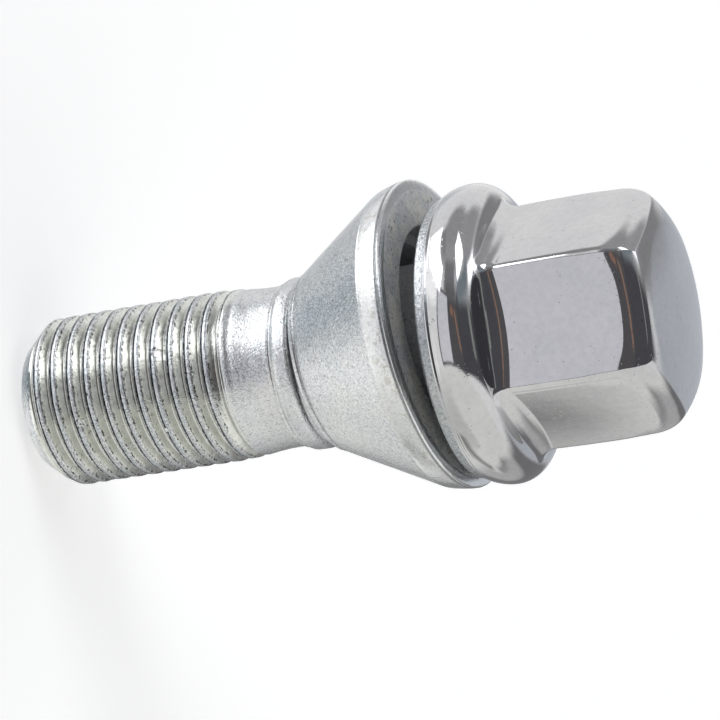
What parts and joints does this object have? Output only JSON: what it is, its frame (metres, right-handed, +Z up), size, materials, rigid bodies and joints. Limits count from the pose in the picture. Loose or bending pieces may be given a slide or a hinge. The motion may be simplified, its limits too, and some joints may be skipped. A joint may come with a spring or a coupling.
{
  "type": "lug bolt",
  "caption": "Wheel lug bolt: fine-threaded zinc-plated shank, loose conical seat ring and a polished cover over the flanged hex head, standing on its threaded end.",
  "frame": {"origin": "centre of the bounding box in plan, on the surface that the threaded end stands on; the bolt's own axis stands 0.7 mm from it because the ring leans", "axes": "+Z up along the bolt's axis, from the threaded end to the head; -Y faces one flat of the hex within 2 degrees, and the ring leans in the X-Z plane"},
  "size_m": [0.0254, 0.0254, 0.0551],
  "materials": {
    "zinc_steel": "mottled bright zinc plating on forged and rolled steel",
    "zinc_ring": "matt zinc plating, fine grained",
    "polished_cover": "mirror-polished stainless sheet with fine handling scratches"
  },
  "bodies": {
    "bolt": {"threaded_bolt": "zinc_steel", "head_cover": "polished_cover"},
    "ring": {"seat_ring": "zinc_ring"}
  },
  "joints": [
    {"name": "ring_spin", "type": "hinge", "parent": "bolt", "child": "ring", "pos_m": [0.00036, 0.00017, 0.03003], "axis": [-0.0764, -0.0315, 0.9966], "continuous": true}
  ]
}
